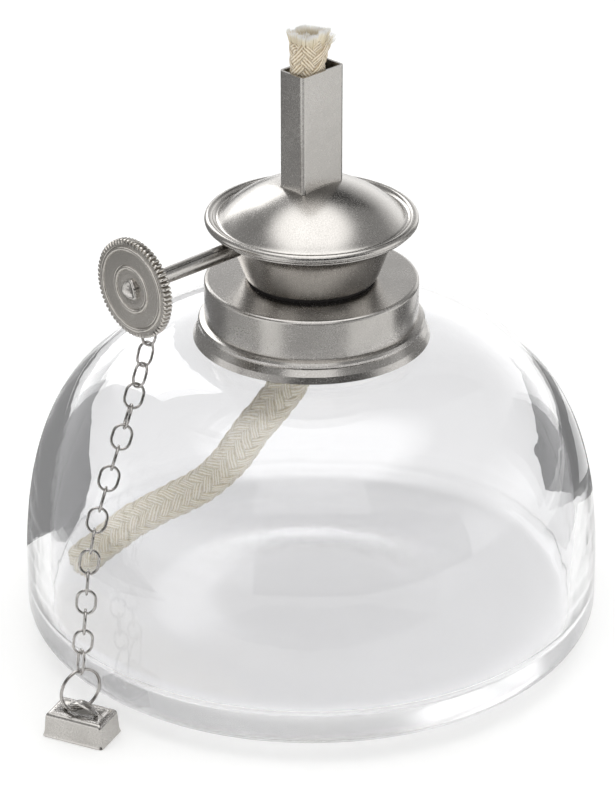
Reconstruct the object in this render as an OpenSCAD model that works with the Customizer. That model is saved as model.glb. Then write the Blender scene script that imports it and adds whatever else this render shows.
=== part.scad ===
// Spirit lamp: a clear glass reservoir, a screw-in metal burner with a fed wick,
// and a snuffer cap that hangs on a chain from the sleeve of the feed spindle.
// Millimetres, Z up, origin in the middle of the foot, the knob towards -X.

/* [Reservoir] */
// Widest outside diameter of the glass
glass_d = 95; // [90:0.5:100]
// Height of the widest place above the table
heel_h = 6.2; // [5:0.1:8]
// Outside diameter of the foot ring
foot_d = 68.8; // [60:0.2:74]
// Width of the flat foot ring
foot_w = 6.4; // [4:0.1:8]
// Depth of the hollow under the floor
foot_recess = 1; // [0.5:0.1:2]
// Height where the dome would close at the neck
crown_h = 52.3; // [50:0.1:56]
// Diameter that the dome's curve closes on
crown_d = 24; // [20:0.5:28]
// Squareness of the dome, 2 is an ellipse
crown_power = 2.76; // [2.4:0.02:3]
// Squareness of the heel, 2 is an ellipse
heel_power = 2.12; // [2:0.02:2.6]
// Thickness of the glass wall
glass_wall = 3.5; // [2.5:0.1:4.5]
// Height of the floor inside
glass_floor = 5.5; // [4.5:0.1:6.5]
// Outside diameter of the neck
neck_d = 31.6; // [30:0.1:32.5]
// Bore of the neck
neck_bore = 22.8; // [22:0.1:25]

/* [Collar] */
// Diameter of the collar's straight wall
collar_d = 34.6; // [34:0.1:36]
// Height of the collar from skirt to top
collar_h = 9.9; // [9:0.1:12]
// Diameter of the flared skirt at its edge
skirt_d = 38.3; // [37.6:0.1:40]
// Height of the skirt below the bead
skirt_h = 1.9; // [1.5:0.1:2.5]
// Diameter over the bead
bead_d = 36.7; // [36:0.1:37.4]
// Height of the bead
bead_h = 1.3; // [1:0.1:1.6]
// Sheet thickness of the collar
collar_sheet = 0.5; // [0.3:0.05:0.6]
// Depth of the threaded throat below the collar's top
throat_depth = 6.6; // [5:0.1:8]
// Gap between the skirt and the glass under it
skirt_gap = 0.12; // [0.05:0.01:0.4]
// Thickness of the cement over the neck's rim
cement_t = 1.2; // [0.8:0.1:1.6]

/* [Burner] */
// Diameter of the seal washer
washer_d = 21.4; // [21:0.1:22.5]
// Thickness of the seal washer
washer_t = 1; // [0.6:0.1:1.6]
// Outside diameter of the threaded shell
thread_d = 19.3; // [18.5:0.1:19.6]
// Length of the threaded shell
thread_l = 7.4; // [6:0.1:9]
// Running gap between the thread and the throat
thread_gap = 0.15; // [0.1:0.01:0.25]
// Sheet thickness of the burner's shells
shell_sheet = 0.35; // [0.25:0.05:0.5]
// Diameter of the cup at its foot
cup_foot_d = 21.8; // [21.4:0.1:23]
// Height of the cup from its foot to its flange
cup_h = 8.65; // [8:0.05:10]
// Outside diameter of the rolled rim
rim_d = 34.2; // [34:0.1:35.4]
// Height of the rolled rim
rim_h = 1.75; // [1.6:0.05:2.2]
// Width of the rim past the cup's curve
rim_fold = 0.9; // [0.8:0.05:1.2]
// Distance of the dome's rounded shoulder inside the rim
shoulder_in = 2.1; // [1.6:0.1:3]
// Height of the dome above its rim
dome_h = 5; // [4.4:0.1:7]
// Diameter of the flat on top of the dome
dome_top_d = 11.4; // [11.2:0.1:13]

/* [Wick tube] */
// Long side of the wick tube, along X
tube_l = 9.08; // [8.6:0.02:9.4]
// Short side of the wick tube, along Y
tube_w = 5.4; // [5.2:0.05:5.8]
// Height of the tube above the dome
tube_h = 19.7; // [15:0.1:24]
// Sheet thickness of the tube
tube_sheet = 0.4; // [0.3:0.05:0.5]
// Radius of the tube's outer corners
tube_corner = 0.7; // [0.5:0.05:0.9]
// Length of the tube below the cup's foot
tube_tail = 2.6; // [1.6:0.1:3.2]

/* [Wick] */
// Gap between the wick and the tube
wick_gap = 0.1; // [0.05:0.01:0.15]
// Long side of the flattened wick
wick_l = 6.6; // [6:0.1:7]
// Long side of the frayed end
crown_l = 7.9; // [7:0.1:8]
// Height of the wick above the tube
wick_h = 7.1; // [5:0.1:9]
// Height of the frayed part
fray_h = 5; // [3:0.1:6]
// Length of wick in the tube that belongs to the visible end
wick_grip = 14.9; // [12:0.1:16]
// Diameter of the round wick in the reservoir
tail_d = 6; // [5:0.1:6.4]

/* [Feed spindle] */
// Diameter of the spindle
spindle_d = 1.4; // [1.2:0.05:1.6]
// Running gap round the spindle
spindle_gap = 0.06; // [0.04:0.01:0.1]
// Distance from the tube's face to the spindle's axis
spindle_off = 1.3; // [1.2:0.05:1.5]
// Distance of the spindle's axis below the rim
spindle_drop = 1.65; // [1.6:0.05:2]
// Number of teeth on a feed wheel
wheel_teeth = 12; // [8:1:16]
// Depth of the teeth
tooth_h = 0.4; // [0.2:0.05:0.45]
// Thickness of a feed wheel
wheel_t = 1.2; // [0.8:0.1:1.4]
// Distance between the middles of the two wheels
wheel_pitch = 3.2; // [2.8:0.1:3.4]
// Gap between a wheel and the wick
bite_gap = 0.05; // [0.03:0.01:0.08]
// Gap between a wheel and its slot
slot_gap = 0.25; // [0.15:0.05:0.3]
// Diameter of the knob
knob_d = 16; // [14:0.1:18]
// Thickness of the knob
knob_t = 1.75; // [1.5:0.05:2.5]
// Distance of the knob's face from the lamp's axis
knob_reach = 35.2; // [34.8:0.1:38]
// Number of grooves round the knob
knurl_n = 64; // [40:1:80]
// Depth of the grooves
knurl_depth = 0.22; // [0.1:0.02:0.4]
// Height of the knob's two raised rings
knob_ring_h = 0.2; // [0.1:0.05:0.3]
// Diameter of the outer raised ring
knob_ring_d = 13.6; // [12:0.1:13.6]
// Diameter of the inner raised ring
hub_ring_d = 8.4; // [7:0.1:10]
// Diameter of the sleeve at the knob
sleeve_knob_d = 2.35; // [2.2:0.05:2.6]
// Diameter of the sleeve at the cup
sleeve_cup_d = 2.8; // [2.6:0.05:2.9]
// Gap between the sleeve and the knob
sleeve_gap = 0.25; // [0.2:0.05:0.5]
// Distance of the sleeve's inner end from the lamp's axis
sleeve_inner = 11; // [10.4:0.1:11.4]

/* [Chain] */
// Distance of the chain's end from the glass, along X
chain_clear = 5.249; // [4.8:0.05:7]
// Width of a chain link over its wire
link_w = 3.4; // [3.2:0.05:3.6]
// Wire of the chain links
link_wire = 0.45; // [0.4:0.01:0.5]
// Gap between linked wires
link_gap = 0.06; // [0.04:0.01:0.1]
// Diameter of the anchor ring round the sleeve
anchor_d = 5.8; // [5.4:0.1:6.4]
// Wire of the anchor ring
anchor_wire = 0.5; // [0.4:0.02:0.6]
// Distance of the anchor ring behind the knob
anchor_back = 2.95; // [2.4:0.05:4]
// Diameter of the jump ring
jump_d = 7.6; // [6.8:0.1:8]
// Wire of the jump ring
jump_wire = 0.55; // [0.5:0.01:0.6]
// Way the chain leans, in plan, from -X towards -Y
chain_heading = 14.6; // [10:0.2:20]

/* [Snuffer] */
// Length of the cap at its lip
cap_l = 10.8; // [10.4:0.1:12]
// Width of the cap at its lip
cap_w = 6.9; // [6.7:0.1:8]
// Height of the cap
cap_h = 4.1; // [3.8:0.1:6]
// How far the lip flares past the walls
cap_lip = 0.25; // [0.1:0.05:0.3]
// How far the walls draw in towards the top
cap_draft = 0.15; // [0.05:0.01:0.2]
// Sheet thickness of the cap
cap_sheet = 0.3; // [0.25:0.05:0.35]
// Turn of the cap in plan
cap_turn = -69; // [-80:1:-50]
// Length of the lug over its feet
lug_l = 6.4; // [6:0.1:7]
// Width of the lug's strip
lug_w = 1.6; // [1.2:0.1:2]
// Height of the lug's opening
lug_h = 1.35; // [1.2:0.05:2]
// Gap between the jump ring and the cap
jump_gap = 0.15; // [0.1:0.05:0.3]

/* [Hidden] */
$fn = 96;

glass_tint = [0.86, 0.9, 0.9, 0.4];
nickel = [0.74, 0.73, 0.71];
cotton = [0.93, 0.89, 0.8];
plaster = [0.88, 0.87, 0.83];
fibre = [0.2, 0.19, 0.18];

// Free route of the wick from the burner to the reservoir's wall, drawn for a tube that ends at
// tail_drawn_z and a glass of the inside radius tail_drawn_r
tail_drawn_z = 60.5188;
tail_drawn_r = 44;
tail_drawn = [[0, 0, 60], [0, 0, 56], [0, 0, 52], [-0.4, 0.4, 48.2], [-1.4, 1.4, 44.6],
    [-3, 3, 41.2], [-4.9, 4.8, 37.8], [-6.8, 6.7, 34.5], [-8.5, 8.3, 31], [-10.3, 10.1, 27.7],
    [-12.5, 12.2, 24.8], [-15.1, 14.8, 22.4], [-18, 17.6, 20.2], [-20.8, 20.4, 17.8],
    [-23.4, 23, 14.9], [-25.9, 25.5, 11.9], [-28.2, 27.7, 9.1]];
tail_sides = 12;
tail_twist = 0.7;

// How far each link leans from upright, and how far it is turned about its own length
chain_lean = [12, 17, 24, 29, 31, 32, 33, 33, 31, 31, 27, 20, 14, 9, 9, 10, 11, 13];
chain_turn = [0, 0, 2, 8, 24, 36, 44, 44, 44, 44, 44, 44, 44, 44, 44, 40, 32, 24];

// Reservoir
glass_r = glass_d / 2;
foot_r = foot_d / 2;
crown_r = crown_d / 2;
neck_r = neck_d / 2;
neck_fillet = 0.5;
inner_r = glass_r - glass_wall;
inner_foot_r = foot_r + glass_wall / 2;
inner_heel_h = glass_floor + glass_wall;
crown_thin = 0.3;
inner_crown_h = crown_h - glass_wall + crown_thin;
curve_steps = 18;
heel_steps = 7;
overshoot = 1;

// Collar
skirt_r = skirt_d / 2;
collar_r = collar_d / 2;
bead_r = bead_d / 2;
collar_z = crown_at(skirt_r) + skirt_gap;
collar_top = collar_z + collar_h;
throat_r = thread_d / 2 + thread_gap;
neck_top = collar_top - collar_sheet - cement_t;
edge_r = 0.6;
groove = 0.35;
skirt_flare = 0.45;
bead_seat = 0.1;
cement_gap = 0.3;
cement_deep = throat_depth - 2;

// Burner
cup_z = collar_top + washer_t;
flange_z = cup_z + cup_h;
hem_z = flange_z - shell_sheet;
rim_r = rim_d / 2;
rim_z = hem_z + rim_h;
rim_crease = 0.08 * rim_h;
rim_round = 0.22 * rim_h;
rim_mid_z = hem_z + rim_h / 2;
cup_top_r = rim_r - rim_fold;
cup_foot_r = cup_foot_d / 2;
cup_edge = 0.3;
flange_r = rim_r - 0.6;
hem_in_r = cup_top_r + 0.05;
shoulder_r = rim_r - shoulder_in;
shoulder_round = 1.2;
shoulder_fall = 0.2;
hidden_bore = 2;
dome_z = rim_z + dome_h;
tube_z = cup_z - tube_tail;
tube_top = dome_z + tube_h;
cup_steps = 12;

// Wick
wick_w = tube_w - 2 * (tube_sheet + wick_gap);
wick_edge = -tube_l / 2 + tube_sheet + wick_gap;
wick_split = tube_top - wick_grip;
wick_top_z = tube_top + wick_h;
wick_round = 0.05;
crown_wide = min(crown_l, tube_l - 2 * (tube_sheet + wick_gap));
tail_spread = inner_r / tail_drawn_r;
tail_rise = tube_z / tail_drawn_z;
tail_route = [for (p = tail_drawn) [p[0] * tail_spread, p[1] * tail_spread, p[2] * tail_rise]];
wick_z = tail_route[0][2];

// Feed spindle
spindle_r = spindle_d / 2;
bearing_r = spindle_r + spindle_gap;
spindle_y = tube_w / 2 + spindle_off;
spindle_z = hem_z - spindle_drop;
wheel_r = spindle_off + tube_sheet + wick_gap - bite_gap;
knob_r = knob_d / 2;
knob_back = -knob_reach + knob_t;
sleeve_x = knob_back + sleeve_gap;
sleeve_len = -sleeve_inner - sleeve_x;
bracket_in = wheel_pitch / 2 + wheel_t / 2 + slot_gap;
bracket_sheet = 0.4;
bracket_d = 2 * (wheel_r + slot_gap + bracket_sheet);
spindle_past = 0.6;
spindle_end = bracket_in + bracket_sheet + spindle_past;
head = [0.85, 2.2, 3];
head_proud = 0.5;
recess_gap = 0.1;
recess_lip = 0.3;
recess_r = norm([head[1], head[2]]) / 2 + recess_gap;
knob_edge = 0.55;
knob_bevel = 0.35;
knob_rim = 0.25;
knob_dish = 0.12;
knob_ring_w = 0.45;
knurl_half_w = 0.5;
seam_knob = 0.12;
seam_cup = 0.5;
seam_open_l = 4;
seam_turn = 35;

// Chain: its pitch and its slack come from how far it has to fall and how far out it has to reach
anchor_x = knob_back + anchor_back;
anchor_r = (anchor_d - anchor_wire) / 2;
anchor_z = spindle_z + sleeve_radius(anchor_x) + link_gap - anchor_r + anchor_wire / 2;
chain_start = [anchor_x, spindle_y, anchor_z - anchor_r + (anchor_wire + link_gap) / 2];
jump_r = (jump_d - jump_wire) / 2;
jump_z = cap_h + jump_gap + jump_d / 2;
chain_end_z = jump_z + jump_r - (jump_wire + link_gap) / 2;
chain_drop = chain_start[2] - chain_end_z;
chain_reach = (glass_r + chain_clear + anchor_x) / cos(chain_heading);
chain_slack = slack_for(chain_reach / chain_drop, 0, 2.4, 30);
pitch = chain_drop / sum_of([for (a = chain_lean) cos(chain_slack * a)]);
link_l = pitch + 2 * link_wire + link_gap;
link_round = (link_w - link_wire) / 2;
link_straight = link_l - link_w;
jump_at = chain_point(len(chain_lean));
jump_turn = -9.4;

// Snuffer
cap_side_r = 1;
cap_top_r = 0.55;
cap_edge = [0.03, 0.12];
cap_flare_h = 0.7;
lug_foot = 0.9;
lug_strip = 0.35;

// Radius of the sleeve at a place along X
function sleeve_radius(x) =
    (sleeve_knob_d + (sleeve_cup_d - sleeve_knob_d) * (x - sleeve_x) / sleeve_len) / 2;

// Quarter of a superellipse between two radii and two heights
function bulge(from_r, to_r, from_z, to_z, power, steps) = [
    for (i = [0:steps])
        let (t = 90 * i / steps)
            [to_r + (from_r - to_r) * pow(cos(t), 2 / power),
             from_z + (to_z - from_z) * pow(sin(t), 2 / power)]];

// Height of the glass at a radius near the neck
function crown_at(r) =
    let (share = pow((r - crown_r) / (glass_r - crown_r), crown_power / 2))
        heel_h + (crown_h - heel_h) * pow(sin(acos(share)), 2 / crown_power);

// Points of a round corner from one angle to another
function corner(centre, r, from_a, to_a, steps = 4) = [
    for (i = [0:steps])
        let (a = from_a + (to_a - from_a) * i / steps) centre + r * [cos(a), sin(a)]];

// Normal to the left of a step along a path
function left_of(path, i) =
    let (step = path[i + 1] - path[i]) [-step[1], step[0]] / norm(step);

// Mitred offset direction at a point of a path
function mitre(path, i) =
    let (sum = left_of(path, max(i - 1, 0)) + left_of(path, min(i, len(path) - 2)))
        2 * sum / (sum * sum);

// Outline of bent sheet whose outer face follows the path
function sheet(path, wall) = concat(path, [
    for (i = [len(path) - 1:-1:0]) path[i] + wall * mitre(path, i)]);

function sum_of(v, i = 0) = i < len(v) ? v[i] + sum_of(v, i + 1) : 0;

// Reach of the chain for each unit of its drop at a given slack, and the slack that gives a share
function reach_at(slack) = sum_of([for (a = chain_lean) sin(slack * a)])
    / sum_of([for (a = chain_lean) cos(slack * a)]);
function slack_for(share, low, high, rounds) =
    let (middle = (low + high) / 2)
        rounds == 0 ? middle
        : reach_at(middle) < share ? slack_for(share, middle, high, rounds - 1)
        : slack_for(share, low, middle, rounds - 1);

function link_lean(i) = chain_slack * chain_lean[i - 1];
function link_way(i) = [-sin(link_lean(i)) * cos(chain_heading),
    -sin(link_lean(i)) * sin(chain_heading), -cos(link_lean(i))];
function chain_point(i) = i == 0 ? chain_start : chain_point(i - 1) + pitch * link_way(i);

// Ring of points on a rounded rectangle, counted the same at every size
function rounded_ring(l, w, r, z, steps = 5) = [
    for (q = [0:3])
        let (sx = q == 0 || q == 3 ? 1 : -1, sy = q < 2 ? 1 : -1)
            for (p = corner([sx * (l / 2 - r), sy * (w / 2 - r)], r, 90 * q, 90 * q + 90, steps))
                [p[0], p[1], z]];

// Solid through rings of the same count
module loft(rings) {
    n = len(rings[0]);
    last = len(rings) - 1;
    sides = [
        for (k = [0:last - 1])
            for (i = [0:n - 1])
                let (a = k * n + i, b = k * n + (i + 1) % n)
                    each [[a, a + n, b + n], [a, b + n, b]]];
    floor_face = [for (i = [0:n - 1]) i];
    roof_face = [for (i = [n - 1:-1:0]) last * n + i];
    polyhedron([for (ring = rings) each ring], concat([floor_face, roof_face], sides));
}

function unit(v) = v / norm(v);

// Ring of points square to a route at one of its points
function route_ring(route, i, r, sides) =
    let (ahead = unit(route[min(i + 1, len(route) - 1)] - route[max(i - 1, 0)]),
         across = unit(cross([tail_twist, 1 - tail_twist / 2, 0], ahead)),
         beside = cross(ahead, across))
        [for (k = [0:sides - 1])
            let (a = 360 * k / sides) route[i] + r * (cos(a) * across + sin(a) * beside)];

module rounded_rect(l, w, r) {
    square([l, w - 2 * r], center = true);
    square([l - 2 * r, w], center = true);
    for (sx = [-1, 1], sy = [-1, 1])
        translate([sx * (l / 2 - r), sy * (w / 2 - r)])
            circle(r, $fn = 32);
}

module tube_block(grow, from_z, to_z) {
    translate([0, 0, from_z])
        linear_extrude(to_z - from_z)
            rounded_rect(tube_l + 2 * grow, tube_w + 2 * grow, tube_corner + grow);
}

// Runs a child that is drawn along Z along X instead, at the spindle
module on_spindle(x) {
    translate([x, spindle_y, spindle_z])
        rotate([0, 90, 0])
            children();
}

module wire_ring(mean_r, wire) {
    rotate_extrude()
        translate([mean_r, 0])
            circle(wire / 2, $fn = 24);
}

module glass_reservoir() {
    heel = [for (i = [0:heel_steps])
        let (t = 90 * i / heel_steps)
            [foot_r + (glass_r - foot_r) * pow(sin(t), 2 / heel_power),
             heel_h - heel_h * pow(cos(t), 2 / heel_power)]];
    dome = [for (p = bulge(glass_r, crown_r, heel_h, crown_h, crown_power, curve_steps))
        if (p[0] > neck_r + neck_fillet && p[1] > heel_h) p];
    inner_dome = bulge(inner_r, neck_bore / 2, inner_heel_h, inner_crown_h, crown_power,
        curve_steps);
    inner_heel = [for (i = [1:heel_steps - 1])
        let (t = 90 * i / heel_steps)
            [inner_foot_r + (inner_r - inner_foot_r) * sin(t),
             inner_heel_h - (inner_heel_h - glass_floor) * cos(t)]];
    color(glass_tint)
        rotate_extrude()
            polygon(concat(
                [[0, foot_recess], [foot_r - foot_w - foot_recess, foot_recess],
                 [foot_r - foot_w, 0]],
                heel, dome,
                [[neck_r, crown_at(neck_r)], [neck_r, neck_top], [neck_bore / 2, neck_top]],
                [for (i = [len(inner_dome) - 1:-1:0]) inner_dome[i]],
                [for (i = [len(inner_heel) - 1:-1:0]) inner_heel[i]],
                [[inner_foot_r, glass_floor], [0, glass_floor]]));
}

module collar() {
    bead_z = collar_z + skirt_h + bead_h / 2;
    path = concat(
        [[skirt_r + skirt_gap, collar_z - skirt_gap],
         [skirt_r - skirt_flare, collar_z + skirt_h * 0.5],
         [bead_r - groove, collar_z + skirt_h]],
        corner([bead_r - bead_h / 2, bead_z], bead_h / 2, -60, 90),
        [[collar_r, bead_z + bead_h / 2 + bead_seat]],
        corner([collar_r - edge_r, collar_top - edge_r], edge_r, 0, 90),
        corner([throat_r + edge_r, collar_top - edge_r], edge_r, 90, 180),
        [[throat_r, collar_top - throat_depth]]);
    near = [skirt_r + 2 * overshoot, skirt_r, skirt_r - collar_sheet, skirt_r - 2 * overshoot];
    color(nickel)
        rotate_extrude()
            difference() {
                polygon(sheet(path, collar_sheet));
                polygon(concat([[near[3], 0], [near[0], 0]],
                    [for (r = near) [r, crown_at(r) + skirt_gap]]));
            }
}

module collar_cement() {
    outer = collar_r - collar_sheet;
    inner = throat_r + collar_sheet;
    top = collar_top - collar_sheet;
    low = top - cement_deep;
    outer_low = collar_z + skirt_h + bead_h + cement_gap;
    color(plaster)
        rotate_extrude()
            polygon([
                [inner, low], [neck_bore / 2, low], [neck_bore / 2, neck_top],
                [neck_r, neck_top], [neck_r, outer_low], [outer, outer_low],
                [outer, top - edge_r], [outer - edge_r, top],
                [inner + edge_r, top], [inner, top - edge_r]]);
}

module seal_washer() {
    color(fibre)
        translate([0, 0, collar_top])
            difference() {
                cylinder(h = washer_t, d = washer_d);
                translate([0, 0, -overshoot])
                    cylinder(h = washer_t + 2 * overshoot, r = throat_r);
            }
}

module thread_shell() {
    color(nickel)
        translate([0, 0, cup_z - thread_l])
            difference() {
                cylinder(h = thread_l, d = thread_d);
                translate([0, 0, -overshoot])
                    cylinder(h = thread_l + 2 * overshoot, r = thread_d / 2 - collar_sheet);
            }
}

module burner_cup() {
    curve = [for (i = [0:cup_steps])
        let (a = 90 * i / cup_steps)
            [cup_foot_r + (cup_top_r - cup_foot_r) * (1 - cos(a)), cup_z + cup_h * sin(a)]];
    path = concat([[hidden_bore, cup_z], [cup_foot_r - cup_edge, cup_z]],
        [for (p = curve) if (p[1] > cup_z + cup_edge) p],
        [[flange_r, flange_z]]);
    color(nickel)
        difference() {
            rotate_extrude()
                polygon(sheet(path, shell_sheet));
            tube_block(0, cup_z - overshoot, cup_z + 2 * overshoot);
            sleeve_body();
        }
}

module burner_dome() {
    shoulder_z = rim_z - shoulder_fall;
    shoulder_top = shoulder_z + shoulder_round - shoulder_fall;
    path = concat([[hem_in_r, hem_z]],
        corner([rim_r - rim_round, hem_z + rim_round], rim_round, -90, 0),
        [[rim_r, rim_mid_z - rim_crease], [rim_r - rim_crease, rim_mid_z],
         [rim_r, rim_mid_z + rim_crease]],
        corner([rim_r - rim_round, rim_z - rim_round], rim_round, 0, 90),
        [for (a = [0:18:90])
            [shoulder_r + shoulder_round * cos(a),
             shoulder_z + (shoulder_top - shoulder_z) * sin(a)]],
        [[dome_top_d / 2, dome_z], [hidden_bore, dome_z]]);
    color(nickel)
        difference() {
            rotate_extrude()
                polygon(sheet(path, shell_sheet));
            tube_block(0, dome_z - 3 * overshoot, dome_z + overshoot);
        }
}

module wick_tube() {
    slot_h = 2 * sqrt(pow(wheel_r + slot_gap, 2) - pow(spindle_off, 2));
    color(nickel)
        difference() {
            tube_block(0, tube_z, tube_top);
            tube_block(-tube_sheet, tube_z - overshoot, tube_top + overshoot);
            for (side = [-1, 1])
                translate([side * wheel_pitch / 2, tube_w / 2, spindle_z])
                    cube([wheel_t + 2 * slot_gap, 4 * tube_sheet, slot_h], center = true);
        }
}

module spindle_bracket() {
    outer_x = bracket_in + bracket_sheet;
    face_y = tube_w / 2;
    back_y = spindle_y + bracket_d / 2;
    color(nickel)
        difference() {
            translate([0, 0, spindle_z - bracket_d / 2])
                linear_extrude(bracket_d)
                    polygon([[-outer_x, face_y], [-bracket_in, face_y],
                        [-bracket_in, back_y - bracket_sheet], [bracket_in, back_y - bracket_sheet],
                        [bracket_in, face_y], [outer_x, face_y], [outer_x, back_y],
                        [-outer_x, back_y]]);
            on_spindle(-outer_x - overshoot)
                cylinder(h = 2 * (outer_x + overshoot), r = bearing_r);
        }
}

module sleeve_body() {
    on_spindle(sleeve_x)
        cylinder(h = sleeve_len, d1 = sleeve_knob_d, d2 = sleeve_cup_d);
}

module spindle_sleeve() {
    opens = sleeve_len - seam_open_l;
    past = sleeve_len + overshoot;
    color(nickel)
        difference() {
            sleeve_body();
            on_spindle(sleeve_x - overshoot)
                cylinder(h = past + overshoot, r = bearing_r);
            translate([sleeve_x, spindle_y, spindle_z])
                rotate([seam_turn, 0, 0])
                    linear_extrude(sleeve_cup_d)
                        polygon([[-overshoot, -seam_knob / 2], [opens, -seam_knob / 2],
                            [past, -seam_cup], [past, seam_cup],
                            [opens, seam_knob / 2], [-overshoot, seam_knob / 2]]);
        }
}

module spindle() {
    head_x = -knob_reach - head_proud;
    color(nickel) {
        on_spindle(head_x + head[0])
            cylinder(h = spindle_end - head_x - head[0], r = spindle_r);
        translate([head_x, spindle_y - head[1] / 2, spindle_z - head[2] / 2])
            cube(head);
    }
}

module knob() {
    outer_ring = knob_ring_d / 2;
    hub_ring = hub_ring_d / 2;
    face = knob_t - knob_ring_h;
    dish = face - knob_dish;
    recess = knob_t + head_proud - head[0];
    ring_r = knob_ring_w / 2;
    profile = concat(
        [[spindle_r, 0], [knob_r, 0], [knob_r, knob_t - knob_edge],
         [knob_r - knob_bevel, knob_t - knob_rim], [outer_ring + ring_r, face]],
        corner([outer_ring, face], ring_r, 0, 180),
        [[outer_ring - knob_ring_w, dish], [hub_ring + knob_ring_w, dish]],
        corner([hub_ring, face], ring_r, 0, 180),
        [[hub_ring - knob_ring_w, dish], [recess_r + recess_lip, face],
         [recess_r, face - recess_gap], [recess_r, recess], [spindle_r, recess]]);
    color(nickel)
        on_spindle(knob_back)
            mirror([0, 0, 1])
                intersection() {
                    rotate_extrude()
                        polygon(profile);
                    linear_extrude(knob_t + overshoot)
                        difference() {
                            circle(knob_r);
                            for (i = [0:knurl_n - 1])
                                rotate(360 * i / knurl_n)
                                    polygon([[knob_r - knurl_depth, 0],
                                        [knob_r + knurl_half_w, -knurl_half_w],
                                        [knob_r + knurl_half_w, knurl_half_w]]);
                            circle(spindle_r);
                        }
                }
}

module feed_wheel(side) {
    teeth = [for (i = [0:2 * wheel_teeth - 1])
        let (a = 180 * i / wheel_teeth, r = i % 2 == 0 ? wheel_r : wheel_r - tooth_h)
            [r * cos(a), r * sin(a)]];
    color(nickel)
        on_spindle(side * wheel_pitch / 2 - wheel_t / 2)
            linear_extrude(wheel_t)
                difference() {
                    polygon(teeth);
                    circle(spindle_r);
                }
}

function wick_ring(l, w, z) =
    [for (p = rounded_ring(l, w, w / 2 - wick_round, z)) p + [wick_edge + l / 2, 0, 0]];

module wick_top() {
    fray_z = wick_top_z - fray_h;
    color(cotton)
        loft([wick_ring(wick_l, wick_w, wick_split), wick_ring(wick_l, wick_w, fray_z),
            wick_ring((wick_l + crown_wide) / 2, wick_w, fray_z + fray_h * 0.5),
            wick_ring(crown_wide, wick_w, wick_top_z - fray_h * 0.14),
            wick_ring(crown_wide * 0.94, wick_w * 0.86, wick_top_z)]);
}

module wick_middle() {
    color(cotton)
        loft([wick_ring(wick_l, wick_w, wick_z), wick_ring(wick_l, wick_w, wick_split)]);
}

module wick_tail() {
    color(cotton)
        loft([for (i = [0:len(tail_route) - 1])
            route_ring(tail_route, i, tail_d / 2, tail_sides)]);
}

module anchor_ring() {
    color(nickel)
        translate([anchor_x, spindle_y, anchor_z])
            rotate([0, 90, 0])
                wire_ring(anchor_r, anchor_wire);
}

// Oval of round wire, its length along Z and its flat side facing -Y
module link() {
    wire_r = link_wire / 2;
    for (end = [-1, 1])
        translate([0, 0, end * link_straight / 2])
            rotate([90, 0, 0])
                rotate_extrude(angle = 180 * end)
                    translate([link_round, 0])
                        circle(wire_r, $fn = 24);
    for (side = [-1, 1])
        translate([side * link_round, 0, -link_straight / 2])
            cylinder(h = link_straight, r = wire_r, $fn = 24);
}

module chain_link(i) {
    quarter = i % 2 == 1 ? 0 : -90;
    color(nickel)
        translate((chain_point(i - 1) + chain_point(i)) / 2)
            rotate([0, 0, chain_heading])
                rotate([0, link_lean(i), 0])
                    rotate([0, 0, quarter - chain_turn[i - 1] - chain_heading])
                        link();
}

module jump_ring() {
    color(nickel)
        translate([jump_at[0], jump_at[1], jump_z])
            rotate([0, 0, jump_turn])
                rotate([90, 0, 0])
                    wire_ring(jump_r, jump_wire);
}

module at_cap() {
    translate([jump_at[0], jump_at[1], 0])
        rotate([0, 0, cap_turn])
            children();
}

function cap_ring(inset, z, r) =
    rounded_ring(cap_l - 2 * inset, cap_w - 2 * inset, r - inset * 0.5, z);

module snuffer_cap() {
    drawn = cap_lip + cap_draft;
    inner = drawn + cap_sheet;
    color(nickel)
        at_cap()
            difference() {
                loft(concat(
                    [cap_ring(0, 0, cap_side_r), cap_ring(cap_edge[0], cap_edge[1], cap_side_r),
                     cap_ring(cap_lip, cap_flare_h, cap_side_r)],
                    [for (a = [0:22.5:90])
                        cap_ring(drawn + cap_top_r * (1 - cos(a)),
                            cap_h - cap_top_r + cap_top_r * sin(a), cap_side_r)]));
                loft([cap_ring(cap_sheet, -cap_edge[1], cap_side_r),
                    cap_ring(cap_sheet + cap_edge[0], cap_edge[1], cap_side_r),
                    cap_ring(cap_lip + cap_sheet, cap_flare_h, cap_side_r),
                    cap_ring(inner, cap_h - cap_top_r, cap_side_r),
                    cap_ring(inner + cap_top_r * 0.3, cap_h - cap_sheet, cap_side_r)]);
            }
}

module snuffer_lug() {
    span = lug_l / 2 - lug_foot;
    foot_z = cap_h + lug_strip;
    arch = [for (a = [0:15:180]) [span * cos(a), foot_z + lug_h * sin(a)]];
    path = concat([[lug_l / 2, foot_z]], arch, [[-lug_l / 2, foot_z]]);
    color(nickel)
        at_cap()
            intersection() {
                rotate([90, 0, 0])
                    linear_extrude(lug_w, center = true)
                        polygon(sheet(path, lug_strip));
                translate([0, 0, cap_h - overshoot])
                    linear_extrude(lug_h + 3 * overshoot)
                        polygon([[-lug_l / 2, 0], [-span, -lug_w / 2], [span, -lug_w / 2],
                            [lug_l / 2, 0], [span, lug_w / 2], [-span, lug_w / 2]]);
            }
}

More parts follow.
